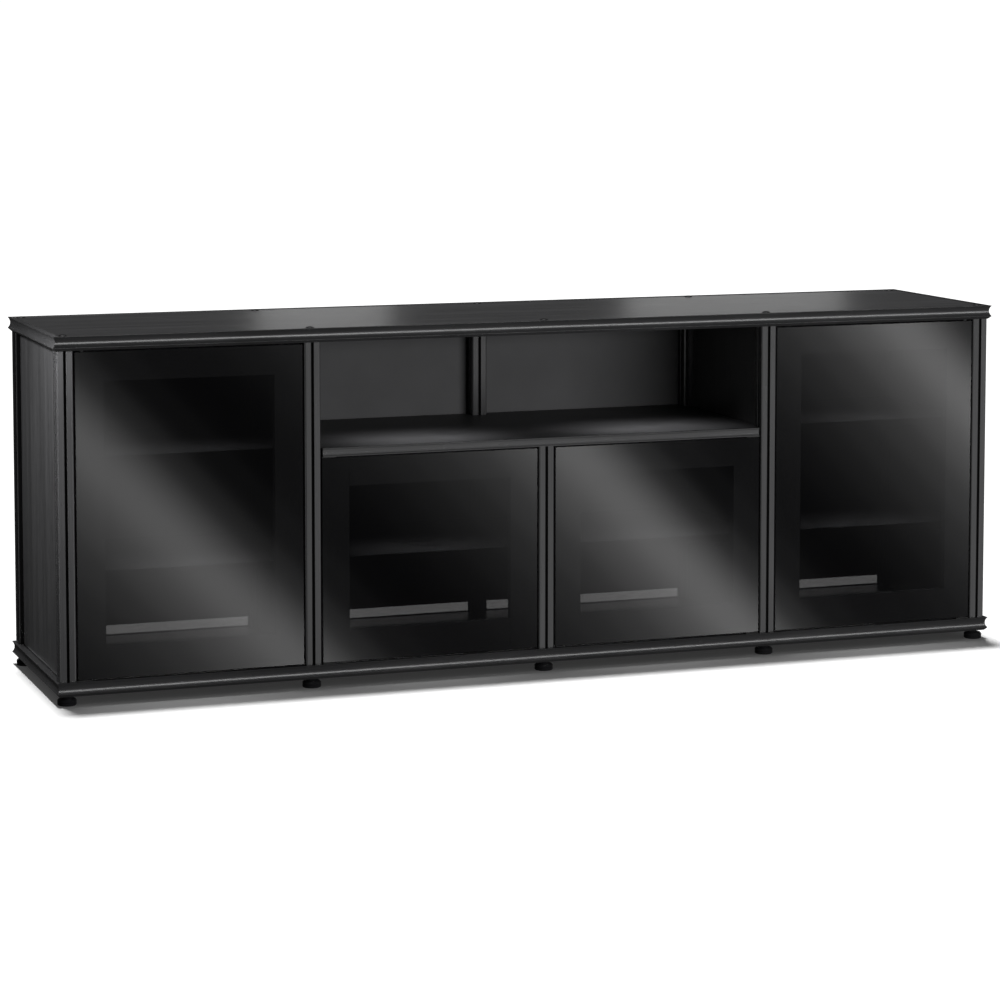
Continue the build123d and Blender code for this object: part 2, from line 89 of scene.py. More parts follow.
# ------------------------------------------------------------------ settings
class CabinetFinish(bpy.types.PropertyGroup):
    """Colours of the cabinet's finishes."""

    anodised: FloatVectorProperty(
        name="Anodised frame", description="Posts, rails and the centre shelf's trim",
        subtype="COLOR", default=(0.030, 0.030, 0.031), min=0, max=1,
    )
    oak: FloatVectorProperty(
        name="Black oak", description="Top and bottom panels, side panels and dividers",
        subtype="COLOR", default=(0.030, 0.030, 0.031), min=0, max=1,
    )
    board: FloatVectorProperty(
        name="Back board", description="Back panels",
        subtype="COLOR", default=(0.040, 0.040, 0.041), min=0, max=1,
    )
    melamine: FloatVectorProperty(
        name="Shelf melamine", description="Adjustable shelves and the centre shelf",
        subtype="COLOR", default=(0.026, 0.026, 0.027), min=0, max=1,
    )
    lacquer: FloatVectorProperty(
        name="Door lacquer", description="Frames behind the door glass",
        subtype="COLOR", default=(0.035, 0.035, 0.036), min=0, max=1,
    )
    plastic: FloatVectorProperty(
        name="Moulded plastic", description="Feet, cap bolts and push latches",
        subtype="COLOR", default=(0.005, 0.005, 0.0055), min=0, max=1,
    )
    steel: FloatVectorProperty(
        name="Blackened steel", description="Screws, pins, pivots and the support bar",
        subtype="COLOR", default=(0.060, 0.058, 0.056), min=0, max=1,
    )
    glass: FloatVectorProperty(
        name="Smoked glass", description="Tint of the door glass",
        subtype="COLOR", default=(0.001, 0.001, 0.0012), min=0, max=1,
    )
    glass_density: FloatProperty(
        name="Glass density", description="Share of light that each face of the glass stops",
        subtype="FACTOR", default=0.775, min=0, max=1,
    )


class CabinetEdges(bpy.types.PropertyGroup):
    """Small sizes that finish the edges and fastenings."""

    board_round: FloatProperty(
        name="Board edge", description="Radius on the edges of shelves and door frames",
        subtype="DISTANCE", unit="LENGTH", default=0.8 * MM, min=0, max=3 * MM,
    )
    plastic_round: FloatProperty(
        name="Plastic edge", description="Radius on the edges of the latch housings",
        subtype="DISTANCE", unit="LENGTH", default=1.0 * MM, min=0, max=3 * MM,
    )
    glass_chamfer: FloatProperty(
        name="Glass chamfer", description="Polished chamfer round the front of the glass",
        subtype="DISTANCE", unit="LENGTH", default=0.6 * MM, min=0, max=1.5 * MM,
    )
    glass_film: FloatProperty(
        name="Glass bedding", description="Gap that the adhesive leaves between glass and frame",
        subtype="DISTANCE", unit="LENGTH", default=0.15 * MM, min=0, max=1 * MM,
    )
    recess_length: FloatProperty(
        name="Recess length", description="Length of each arm of the cross in a screw's head",
        subtype="DISTANCE", unit="LENGTH", default=3.6 * MM, min=1 * MM, max=5 * MM,
    )
    recess_width: FloatProperty(
        name="Recess width", description="Width of each arm of the cross in a screw's head",
        subtype="DISTANCE", unit="LENGTH", default=0.9 * MM, min=0.3 * MM, max=2 * MM,
    )
    recess_depth: FloatProperty(
        name="Recess depth", description="Depth of the cross in a screw's head",
        subtype="DISTANCE", unit="LENGTH", default=0.8 * MM, min=0.2 * MM, max=1.1 * MM,
    )
    strike_radius: FloatProperty(
        name="Strike radius", description="Radius of the steel disc that each latch pushes on",
        subtype="DISTANCE", unit="LENGTH", default=8 * MM, min=2 * MM, max=15 * MM,
    )
    strike_thickness: FloatProperty(
        name="Strike thickness", description="Thickness of the steel disc on the back of a door",
        subtype="DISTANCE", unit="LENGTH", default=0.35 * MM, min=0.1 * MM, max=0.45 * MM,
    )


class CabinetStudio(bpy.types.PropertyGroup):
    """Camera and light."""

    camera_place: FloatVectorProperty(
        name="Camera place", description="Where the camera stands",
        subtype="TRANSLATION", unit="LENGTH", default=(-2.3653, -6.4851, 1.3927),
    )
    camera_turn: FloatProperty(
        name="Camera turn", description="Turn of the camera towards the cabinet's right-hand end",
        subtype="ANGLE", unit="ROTATION", default=0.34664,
    )
    camera_tilt: FloatProperty(
        name="Camera tilt", description="Tilt of the camera, down if negative",
        subtype="ANGLE", unit="ROTATION", default=-0.08612,
    )
    lens: FloatProperty(
        name="Lens", description="Focal length in millimetres", default=111.276, min=10, max=300,
    )
    rise: FloatProperty(
        name="Rise", description="Vertical shift of the camera's frame", default=-0.20, min=-1, max=1,
    )
    sky: FloatProperty(
        name="Sky light", description="Strength of the even light on matt surfaces",
        default=0.085, min=0, max=10,
    )
    backdrop: FloatProperty(
        name="Backdrop", description="Brightness of the plain background", default=1.05, min=0, max=10,
    )
    dusk: FloatProperty(
        name="Dark surroundings", description="Strength of the room that gloss mirrors",
        default=0.02, min=0, max=5,
    )
    streaks: FloatProperty(
        name="Streaks", description="Strength of the slanted streaks mirrored in the doors",
        default=2.45, min=0, max=50,
    )
    streak_pitch: FloatProperty(
        name="Streak pitch", description="Sideways distance from one streak to the next",
        subtype="DISTANCE", unit="LENGTH", default=1.26, min=0.2, max=5,
    )


# ------------------------------------------------------------------ small tools
def deselect():
    if bpy.context.mode != "OBJECT":
        bpy.ops.object.mode_set(mode="OBJECT")
    bpy.ops.object.select_all(action="DESELECT")


def activate(piece):
    deselect()
    piece.select_set(True)
    bpy.context.view_layer.objects.active = piece


def settle(piece):
    """Moves the piece's place into its mesh."""
    activate(piece)
    bpy.ops.object.transform_apply(location=True, rotation=True, scale=True)


def round_edges(piece, width, segments=3, angle=40):
    """Rounds the sharp edges, with the flats kept flat in the shading."""
    activate(piece)
    bevel = piece.modifiers.new("Rounded edges", "BEVEL")
    bevel.width = width
    bevel.segments = segments
    bevel.limit_method = "ANGLE"
    bevel.angle_limit = math.radians(angle)
    bevel.harden_normals = True
    bpy.ops.object.modifier_apply(modifier=bevel.name)


def finish(piece, body, slot, material, *replaced):
    """Gives a new piece its material and its body, and hides the CAD nodes that it stands for. The slot is
    not used.
    """
    piece.data.materials.clear()
    piece.data.materials.append(material)
    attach(piece, body)
    if replaced:
        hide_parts(*replaced)


def joined_copy(node, name):
    """A copy of a CAD piece whose loose triangles are merged into whole faces."""
    activate(NODES[node])
    bpy.ops.object.duplicate()
    piece = bpy.context.active_object
    piece.name = name
    piece.data.name = name
    bpy.ops.object.parent_clear(type="CLEAR_KEEP_TRANSFORM")
    for key in list(piece.keys()):
        del piece[key]
    bpy.ops.mesh.customdata_custom_splitnormals_clear()
    bpy.ops.object.mode_set(mode="EDIT")
    bpy.ops.mesh.select_all(action="SELECT")
    bpy.ops.mesh.remove_doubles(threshold=MERGE_GAP)
    bpy.ops.mesh.dissolve_limited(angle_limit=math.radians(1))
    bpy.ops.object.mode_set(mode="OBJECT")
    bpy.ops.object.shade_smooth_by_angle(angle=math.radians(30))
    return piece


def on_doors(kind):
    """The four new pieces of one kind, frame or glass."""
    return [bpy.data.objects[f"door_{number}_{kind}"] for number in DOORS]


def paint(node, material):
    """Puts a finish on a CAD piece that keeps its own shape."""
    for material_slot in NODES[node].material_slots:
        material_slot.material = material


# ------------------------------------------------------------------ material tools
def new_material(name):
    material = bpy.data.materials.new(name)
    material.use_nodes = True
    return material, material.node_tree, material.node_tree.nodes["Principled BSDF"]


def add(tree, kind, **settings):
    """Adds a node. A setting goes to the node's property of that name."""
    made = tree.nodes.new(kind)
    for key, value in settings.items():
        setattr(made, key, value)
    return made


def place(tree, scale=(1, 1, 1), turn=(0, 0, 0)):
    """Object coordinates in metres, scaled and turned."""
    coordinates = add(tree, "ShaderNodeTexCoord")
    mapping = add(tree, "ShaderNodeMapping")
    mapping.inputs["Scale"].default_value = scale
    mapping.inputs["Rotation"].default_value = turn
    tree.links.new(coordinates.outputs["Object"], mapping.inputs["Vector"])
    return mapping.outputs["Vector"]


def noise(tree, vector, scale, detail=2.0, roughness=0.5, distortion=0.0):
    texture = add(tree, "ShaderNodeTexNoise")
    texture.inputs["Scale"].default_value = scale
    texture.inputs["Detail"].default_value = detail
    texture.inputs["Roughness"].default_value = roughness
    texture.inputs["Distortion"].default_value = distortion
    tree.links.new(vector, texture.inputs["Vector"])
    return texture.outputs["Fac"]


def spread(tree, value, low, high, to_low, to_high):
    """Maps a value from one range to another, clamped."""
    mapped = add(tree, "ShaderNodeMapRange")
    for name, number in (("From Min", low), ("From Max", high), ("To Min", to_low), ("To Max", to_high)):
        mapped.inputs[name].default_value = number
    tree.links.new(value, mapped.inputs["Value"])
    return mapped.outputs["Result"]


def even(tree, pattern, to_low=0, to_high=1):
    """Spreads a noise, which keeps mostly between 0.3 and 0.7, over a whole range."""
    return spread(tree, pattern, 0.3, 0.7, to_low, to_high)


def shades(tree, value, colour, darkest, lightest):
    """A colour that runs from darkest to lightest times itself as the value goes from 0 to 1."""
    ramp = add(tree, "ShaderNodeValToRGB")
    for element, share in zip(ramp.color_ramp.elements, (darkest, lightest)):
        element.color = (*[min(1.0, channel * share) for channel in colour], 1)
    tree.links.new(value, ramp.inputs["Fac"])
    return ramp.outputs["Color"]


def combine(tree, kind, first, second=0.0):
    """Works on one or two values, each a number or a socket."""
    maths = add(tree, "ShaderNodeMath", operation=kind)
    for socket, value in zip(maths.inputs, (first, second)):
        if isinstance(value, (int, float)):
            socket.default_value = value
        else:
            tree.links.new(value, socket)
    return maths.outputs["Value"]


def tint(tree, shader, pattern, colour, darkest, lightest):
    """Clouds the surface's colour along a noise."""
    tree.links.new(shades(tree, even(tree, pattern), colour, darkest, lightest), shader.inputs["Base Color"])


def gloss(tree, shader, pattern, smoothest, roughest):
    """Varies the surface's roughness along a noise."""
    tree.links.new(even(tree, pattern, smoothest, roughest), shader.inputs["Roughness"])


def relief(tree, shader, height, depth):
    """Raises the surface by depth metres times the height."""
    bump = add(tree, "ShaderNodeBump")
    bump.inputs["Strength"].default_value = 1.0
    bump.inputs["Distance"].default_value = depth
    tree.links.new(height, bump.inputs["Height"])
    tree.links.new(bump.outputs["Normal"], shader.inputs["Normal"])


def stretch(along, fine, coarse):
    """Scales for a pattern drawn out along one axis, 0 for X, 1 for Y or 2 for Z."""
    return tuple(coarse if axis == along else fine for axis in range(3))


# ------------------------------------------------------------------ finishes
def anodised(finish_colours, along):
    """Black anodised extrusion: die lines along its length under a satin, slightly clouded skin."""
    material, tree, shader = new_material(f"black_anodised_{'xyz'[along]}")
    die_lines = noise(tree, place(tree, stretch(along, 1400, 3)), 1.0, detail=3, roughness=0.65)
    etch = noise(tree, place(tree), 2600, detail=1)
    cloud = noise(tree, place(tree, stretch(along, 30, 4)), 1.0, detail=3)
    lined, clouded = combine(tree, "MULTIPLY", die_lines, 0.6), combine(tree, "MULTIPLY", cloud, 0.4)
    tone = even(tree, combine(tree, "ADD", lined, clouded), 0.4, 1)
    satin = even(tree, cloud, 0.24, 0.30)
    if along == 2:
        # On the posts, the insides of the slots are darkened with painted shade and made rougher.
        unshaded_face = painted_slot_shade(tree)
        tone = combine(tree, "MULTIPLY", tone, unshaded_face)
        satin = combine(tree, "MAXIMUM", satin, spread(tree, unshaded_face, 0, 1, 1, 0))
    tree.links.new(shades(tree, tone, finish_colours.anodised, 0.1, 1.25), shader.inputs["Base Color"])
    tree.links.new(satin, shader.inputs["Roughness"])
    shader.inputs["Metallic"].default_value = 0.35
    shader.inputs["Specular IOR Level"].default_value = 0.6
    height = combine(tree, "ADD", die_lines, combine(tree, "MULTIPLY", etch, 0.5))
    relief(tree, shader, height, 0.012 * MM)
    return material


def painted_slot_shade(tree):
    """0 inside the slots of the posts, which are darkened with painted shade and roughened, and 1 on their
    faces.
    """
    coordinates = add(tree, "ShaderNodeTexCoord")
    split = add(tree, "ShaderNodeSeparateXYZ")
    tree.links.new(coordinates.outputs["Object"], split.inputs["Vector"])
    from_end = combine(tree, "ADD", split.outputs["X"], 2.5 * POST_PITCH)
    along_row = combine(tree, "MODULO", from_end, POST_PITCH)
    across = combine(tree, "ABSOLUTE", combine(tree, "SUBTRACT", along_row, POST_PITCH / 2))
    deep = combine(tree, "ABSOLUTE", split.outputs["Y"])
    deep = combine(tree, "ABSOLUTE", combine(tree, "SUBTRACT", deep, POST_ROW))
    from_middle = combine(tree, "MAXIMUM", across, deep)
    return spread(tree, from_middle, POST_HALF - SLOT_PAINTED_SHADE_TO, POST_HALF - SLOT_UNSHADED_FROM, 0, 1)


def black_oak(finish_colours, along):
    """Black-stained oak veneer: long grain bands, dark open pores and a thin satin lacquer."""
    material, tree, shader = new_material(f"black_oak_{'xyz'[along]}")
    bands = noise(tree, place(tree, stretch(along, 34, 1.1)), 1.0, detail=4, roughness=0.6, distortion=0.35)
    fibres = noise(tree, place(tree, stretch(along, 420, 7)), 1.0, detail=3, roughness=0.7)
    pores = noise(tree, place(tree, stretch(along, 900, 26)), 1.0, detail=1, distortion=0.1)
    open_pores = spread(tree, pores, 0.60, 0.68, 0, 1)
    banded, fibrous = combine(tree, "MULTIPLY", bands, 0.55), combine(tree, "MULTIPLY", fibres, 0.45)
    tone = spread(tree, combine(tree, "ADD", banded, fibrous), 0.32, 0.68, 0, 1)
    tone = combine(tree, "SUBTRACT", tone, combine(tree, "MULTIPLY", open_pores, 0.6))
    tree.links.new(shades(tree, tone, finish_colours.oak, 0.55, 1.45), shader.inputs["Base Color"])
    tree.links.new(spread(tree, fibres, 0.25, 0.75, 0.26, 0.36), shader.inputs["Roughness"])
    height = combine(tree, "SUBTRACT", combine(tree, "MULTIPLY", fibres, 0.5), open_pores)
    relief(tree, shader, height, 0.035 * MM)
    return material


def back_board(finish_colours):
    """Black-faced hardboard: a fine dimpled skin with faint clouding."""
    material, tree, shader = new_material("black_board")
    dimples = noise(tree, place(tree), 900, detail=2)
    cloud = noise(tree, place(tree), 9, detail=4, roughness=0.6)
    tint(tree, shader, cloud, finish_colours.board, 0.94, 1.06)
    gloss(tree, shader, dimples, 0.46, 0.56)
    relief(tree, shader, dimples, 0.03 * MM)
    return material


def melamine(finish_colours):
    """Satin black melamine: a very fine pearl texture."""
    material, tree, shader = new_material("black_melamine")
    pearl = noise(tree, place(tree), 1500, detail=2, roughness=0.6)
    cloud = noise(tree, place(tree), 14, detail=3)
    tint(tree, shader, cloud, finish_colours.melamine, 0.88, 1.12)
    tree.links.new(spread(tree, pearl, 0.25, 0.75, 0.46, 0.58), shader.inputs["Roughness"])
    shader.inputs["Specular IOR Level"].default_value = 0.3
    relief(tree, shader, pearl, 0.012 * MM)
    return material


def lacquer(finish_colours):
    """Sprayed black lacquer on board: a faint orange peel."""
    material, tree, shader = new_material("black_lacquer")
    peel = noise(tree, place(tree), 420, detail=1)
    cloud = noise(tree, place(tree), 11, detail=3)
    tint(tree, shader, cloud, finish_colours.lacquer, 0.9, 1.1)
    gloss(tree, shader, cloud, 0.30, 0.38)
    relief(tree, shader, peel, 0.02 * MM)
    return material


def moulded_plastic(finish_colours):
    """Moulded black plastic: spark-eroded grain."""
    material, tree, shader = new_material("black_plastic")
    grain = noise(tree, place(tree), 2200, detail=2, roughness=0.6)
    tint(tree, shader, grain, finish_colours.plastic, 0.8, 1.2)
    gloss(tree, shader, grain, 0.26, 0.36)
    relief(tree, shader, grain, 0.02 * MM)
    return material


def blackened_steel(finish_colours):
    """Blackened steel: a blotchy oxide skin with fine rub marks."""
    material, tree, shader = new_material("black_steel")
    oxide = noise(tree, place(tree), 260, detail=4, roughness=0.65)
    rub = noise(tree, place(tree, (300, 2200, 300)), 1.0, detail=1)
    tint(tree, shader, oxide, finish_colours.steel, 0.7, 1.35)
    gloss(tree, shader, rub, 0.30, 0.44)
    shader.inputs["Metallic"].default_value = 0.8
    relief(tree, shader, oxide, 0.008 * MM)
    return material


def smoked_glass(finish_colours):
    """Smoked float glass: dark, see-through and mirror-smooth, with a trace of polish haze."""
    material, tree, shader = new_material("smoked_glass")
    haze = noise(tree, place(tree), 18, detail=3, roughness=0.6)
    tint(tree, shader, haze, finish_colours.glass, 0.9, 1.1)
    gloss(tree, shader, haze, 0.010, 0.030)
    shader.inputs["Alpha"].default_value = finish_colours.glass_density
    shader.inputs["IOR"].default_value = 1.52
    return material


# ------------------------------------------------------------------ operators
class CABINET_OT_frame(bpy.types.Operator):
    """Finish the posts, rails and trim"""

    bl_idname = "cabinet.frame"
    bl_label = "Finish Frame"

    def execute(self, context):
        colours = context.scene.cabinet_finish
        lengthways, crossways, upright = (anodised(colours, axis) for axis in range(3))
        for level in ("top", "bottom"):
            for side in ("front", "rear"):
                paint(f"{level}_{side}_rail", lengthways)
            for side in ("left", "right"):
                paint(f"{level}_{side}_rail", crossways)
        paint("centre_shelf_trim", lengthways)
        paint("rear_posts", upright)
        for number in range(1, 6):
            paint(f"front_post_{number}", upright)
        return {"FINISHED"}


class CABINET_OT_panels(bpy.types.Operator):
    """Finish the top and bottom panels, the side panels and the dividers"""

    bl_idname = "cabinet.panels"
    bl_label = "Finish Panels"

    def execute(self, context):
        colours = context.scene.cabinet_finish
        long_grain = black_oak(colours, 0)
        upright_grain = black_oak(colours, 2)
        for name in ("top_panel", "bottom_panel"):
            paint(name, long_grain)
        for name in ("left_side_panel", "right_side_panel", "left_divider", "right_divider"):
            paint(name, upright_grain)
        return {"FINISHED"}


class CABINET_OT_back(bpy.types.Operator):
    """Finish the back panels and cut a cross recess in each of their screws"""

    bl_idname = "cabinet.back"
    bl_label = "Finish Back"

    def execute(self, context):
        colours = context.scene.cabinet_finish
        board = back_board(colours)
        for number in DOORS:
            paint(f"back_panel_{number}", board)
        screws = joined_copy("back_panel_screws", "back_screws")
        self.cut_recesses(screws, context.scene.cabinet_edges)
        finish(screws, "cabinet", "black_steel", blackened_steel(colours), "back_panel_screws")
        return {"FINISHED"}

    def cut_recesses(self, screws, edges):
        """Finds the middle of each screw's face and cuts a cross there, all in one cut."""
        face = max(vertex.co.y for vertex in screws.data.vertices)
        rims = {}
        for vertex in screws.data.vertices:
            if vertex.co.y > face - SCREW_FACE:
                rims.setdefault((round(vertex.co.x, 2), round(vertex.co.z, 2)), []).append(vertex.co)
        # The first cube only opens a mesh, in which the arms of the crosses are then added.
        deselect()
        bpy.ops.mesh.primitive_cube_add(size=1, location=(0, face + 0.2, 0), scale=(MM, MM, MM))
        cutter = bpy.context.active_object
        bpy.ops.object.mode_set(mode="EDIT")
        bpy.ops.mesh.delete(type="VERT")
        for rim in rims.values():
            x = sum(corner.x for corner in rim) / len(rim)
            z = sum(corner.z for corner in rim) / len(rim)
            arms = ((edges.recess_length, edges.recess_width), (edges.recess_width, edges.recess_length))
            for width, height in arms:
                bpy.ops.mesh.primitive_cube_add(
                    size=1, location=(x, face, z), scale=(width, 2 * edges.recess_depth, height),
                )
        bpy.ops.object.mode_set(mode="OBJECT")
        settle(cutter)
        activate(screws)
        cut = screws.modifiers.new("Cross recesses", "BOOLEAN")
        cut.operation = "DIFFERENCE"
        cut.solver = "EXACT"
        cut.use_self = True
        cut.object = cutter
        bpy.ops.object.modifier_apply(modifier=cut.name)
        bpy.data.objects.remove(cutter)
        bpy.ops.object.shade_smooth_by_angle(angle=math.radians(30))


class CABINET_OT_shelves(bpy.types.Operator):
    """Make the shelves with softened edges"""

    bl_idname = "cabinet.shelves"
    bl_label = "Make Shelves"

    def execute(self, context):
        edges = context.scene.cabinet_edges
        surface = melamine(context.scene.cabinet_finish)
        for node in (*SHELVES, "centre_shelf"):
            shelf = joined_copy(node, f"{node}_board")
            round_edges(shelf, edges.board_round)
            finish(shelf, "cabinet", "black_shelf", surface, node)
        return {"FINISHED"}


class CABINET_OT_doors(bpy.types.Operator):
    """Make the door frames, their glass and the strikes that the latches push on"""

    bl_idname = "cabinet.doors"
    bl_label = "Make Doors"

    def execute(self, context):
        colours = context.scene.cabinet_finish
        edges = context.scene.cabinet_edges
        black = lacquer(colours)
        smoked = smoked_glass(colours)
        strike_steel = bpy.data.materials["black_steel"]
        for number in DOORS:
            body = f"door_{number}"
            door_frame = joined_copy(f"door_frame_{number}", f"door_{number}_frame")
            round_edges(door_frame, edges.board_round, segments=2)
            finish(door_frame, body, "black_lacquer", black, f"door_frame_{number}")

            low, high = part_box(f"door_glass_{number}")
            bpy.ops.mesh.primitive_cube_add(size=1, location=[(a + b) / 2 for a, b in zip(low, high)])
            pane = bpy.context.active_object
            pane.name = f"door_{number}_glass"
            pane.scale = [b - a for a, b in zip(low, high)]
            settle(pane)
            self.dress_pane(pane, edges)
            finish(pane, body, "smoked_glass", smoked, f"door_glass_{number}")

            tip_low, tip_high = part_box(f"latch_plunger_{number}")
            back_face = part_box(f"door_frame_{number}")[1][1]
            bpy.ops.mesh.primitive_cylinder_add(
                vertices=48, radius=edges.strike_radius, depth=edges.strike_thickness,
                rotation=(math.pi / 2, 0, 0),
                location=((tip_low[0] + tip_high[0]) / 2, back_face + edges.strike_thickness / 2,
                          (tip_low[2] + tip_high[2]) / 2),
            )
            strike = bpy.context.active_object
            strike.name = f"door_{number}_strike"
            settle(strike)
            round_edges(strike, edges.strike_thickness / 2.5, segments=2)
            finish(strike, body, "black_steel", strike_steel)
        return {"FINISHED"}

    def dress_pane(self, pane, edges):
        """Draws the back of the pane off its frame and chamfers the edges of its front."""
        activate(pane)
        bpy.ops.object.mode_set(mode="EDIT")
        bpy.ops.mesh.select_mode(type="FACE")
        self.select_facing(pane, 1)
        bpy.ops.transform.translate(value=(0, -edges.glass_film, 0))
        self.select_facing(pane, -1)
        bpy.ops.mesh.bevel(offset=edges.glass_chamfer, segments=1, affect="EDGES")
        bpy.ops.object.mode_set(mode="OBJECT")

    def select_facing(self, pane, way):
        """Selects the face that looks to the back, way 1, or to the front, way -1."""
        bpy.ops.mesh.select_all(action="DESELECT")
        shape = bmesh.from_edit_mesh(pane.data)
        for face in shape.faces:
            face.select_set(face.normal.y * way > 0.5)
        bmesh.update_edit_mesh(pane.data)


class CABINET_OT_hardware(bpy.types.Operator):
    """Finish the pins, pivots, latches, cap bolts, feet and the support bar"""

    bl_idname = "cabinet.hardware"
    bl_label = "Finish Hardware"

    def execute(self, context):
        edges = context.scene.cabinet_edges
        steel = bpy.data.materials["black_steel"]
        plastic = moulded_plastic(context.scene.cabinet_finish)
        for name in ("shelf_pins", "pivot_pins", "centre_support_bar"):
            paint(name, steel)
        housings = joined_copy("latch_housings", "latch_bodies")
        round_edges(housings, edges.plastic_round)
        finish(housings, "cabinet", "black_plastic", plastic, "latch_housings")
        paint("cap_bolts", plastic)
        for number in DOORS:
            paint(f"latch_plunger_{number}", plastic)
        for number in range(1, 11):
            paint(f"foot_{number}", plastic)
        return {"FINISHED"}


class CABINET_OT_studio(bpy.types.Operator):
    """Set the camera, the floor, the even light, the reflectors and the lamps"""

    bl_idname = "cabinet.studio"
    bl_label = "Set Studio"

    def execute(self, context):
        studio = context.scene.cabinet_studio
        self.set_camera(context.scene, studio)
        self.set_sky(context.scene, studio)
        floor = self.lay_floor()
        self.hang_streaks(studio)
        self.hang_cards()
        self.hang_lamps(floor)
        context.scene.view_settings.view_transform = "Standard"
        return {"FINISHED"}

    def set_camera(self, scene, studio):
        deselect()
        bpy.ops.object.camera_add(
            location=studio.camera_place,
            rotation=(math.pi / 2 + studio.camera_tilt, 0, -studio.camera_turn),
        )
        camera = bpy.context.active_object
        camera.name = "studio_camera"
        camera.data.lens = studio.lens
        camera.data.shift_y = studio.rise
        camera.data.clip_end = 200
        scene.camera = camera

    def set_sky(self, scene, studio):
        """An even bright sky for matt surfaces and the background, and a dark room for gloss."""
        world = bpy.data.worlds.new("studio_sky")
        scene.world = world
        world.use_nodes = True
        tree = world.node_tree
        background = tree.nodes["Background"]
        rays = add(tree, "ShaderNodeLightPath")
        lighting = add(tree, "ShaderNodeMix", data_type="FLOAT")
        lighting.inputs["A"].default_value = studio.sky
        lighting.inputs["B"].default_value = studio.dusk
        tree.links.new(rays.outputs["Is Glossy Ray"], lighting.inputs["Factor"])
        level = add(tree, "ShaderNodeMix", data_type="FLOAT")
        tree.links.new(lighting.outputs["Result"], level.inputs["A"])
        level.inputs["B"].default_value = studio.backdrop
        tree.links.new(rays.outputs["Is Camera Ray"], level.inputs["Factor"])
        tree.links.new(level.outputs["Result"], background.inputs["Strength"])
        background.inputs["Color"].default_value = (1, 1, 1, 1)
        world.cycles.sampling_method = "NONE"

    def lay_floor(self):
        deselect()
        bpy.ops.mesh.primitive_plane_add(size=60)
        floor = bpy.context.active_object
        floor.name = "studio_floor"
        material, _, shader = new_material("studio_white")
        shader.inputs["Base Color"].default_value = (0.9, 0.9, 0.9, 1)
        shader.inputs["Roughness"].default_value = 0.9
        shader.inputs["Specular IOR Level"].default_value = 0.0
        shader.inputs["Emission Color"].default_value = (1, 1, 1, 1)
        shader.inputs["Emission Strength"].default_value = 0.028
        floor.data.materials.append(material)
        floor.visible_glossy = False
        floor.visible_diffuse = False
        return floor

    def gather(self, name, pieces):
        """A collection that says which pieces a light or a sheet works on."""
        gathered = bpy.data.collections.new(name)
        for piece in pieces:
            gathered.objects.link(piece)
        return gathered

    def leave_out(self, name, pieces):
        """A collection that says which pieces a light passes by."""
        passed_by = self.gather(name, pieces)
        for linked in passed_by.collection_objects:
            linked.light_linking.link_state = "EXCLUDE"
        return passed_by

    def aim(self, lamp, target):
        lamp.rotation_euler = (lamp.location - Vector(target)).to_track_quat("Z", "Y").to_euler()

    def area_light(self, name, place_at, target, size, power):
        deselect()
        bpy.ops.object.light_add(type="AREA", location=place_at)
        lamp = bpy.context.active_object
        lamp.name = name
        lamp.data.shape = "RECTANGLE"
        lamp.data.size, lamp.data.size_y = size
        lamp.data.energy = power
        lamp.visible_camera = False
        lamp.visible_glossy = False
        self.aim(lamp, target)
        return lamp

    def bare_material(self, name):
        material = bpy.data.materials.new(name)
        material.use_nodes = True
        material.node_tree.nodes.clear()
        return material, material.node_tree

    def clear_glow(self, tree, glow):
        """Lets the sheet glow and still be seen through, so that no sheet hides another."""
        clear = add(tree, "ShaderNodeBsdfTransparent")
        both = add(tree, "ShaderNodeAddShader")
        output = add(tree, "ShaderNodeOutputMaterial")
        tree.links.new(glow.outputs["Emission"], both.inputs[0])
        tree.links.new(clear.outputs["BSDF"], both.inputs[1])
        tree.links.new(both.outputs["Shader"], output.inputs["Surface"])

    def plain_glow(self, name, strength):
        material, tree = self.bare_material(name)
        glow = add(tree, "ShaderNodeEmission")
        glow.inputs["Strength"].default_value = strength
        self.clear_glow(tree, glow)
        return material

    def reflector(self, name, place_at, size, turn, material, mirrored_by):
        """A glowing sheet that only the given pieces mirror."""
        deselect()
        bpy.ops.mesh.primitive_plane_add(size=1, location=place_at, rotation=turn)
        sheet = bpy.context.active_object
        sheet.name = name
        sheet.scale = (*size, 1)
        bpy.ops.object.transform_apply(location=False, rotation=False, scale=True)
        sheet.data.materials.append(material)
        sheet.visible_camera = False
        sheet.visible_diffuse = False
        sheet.visible_shadow = False
        sheet.visible_transmission = False
        sheet.light_linking.receiver_collection = self.gather(f"{name}_mirrors", mirrored_by)

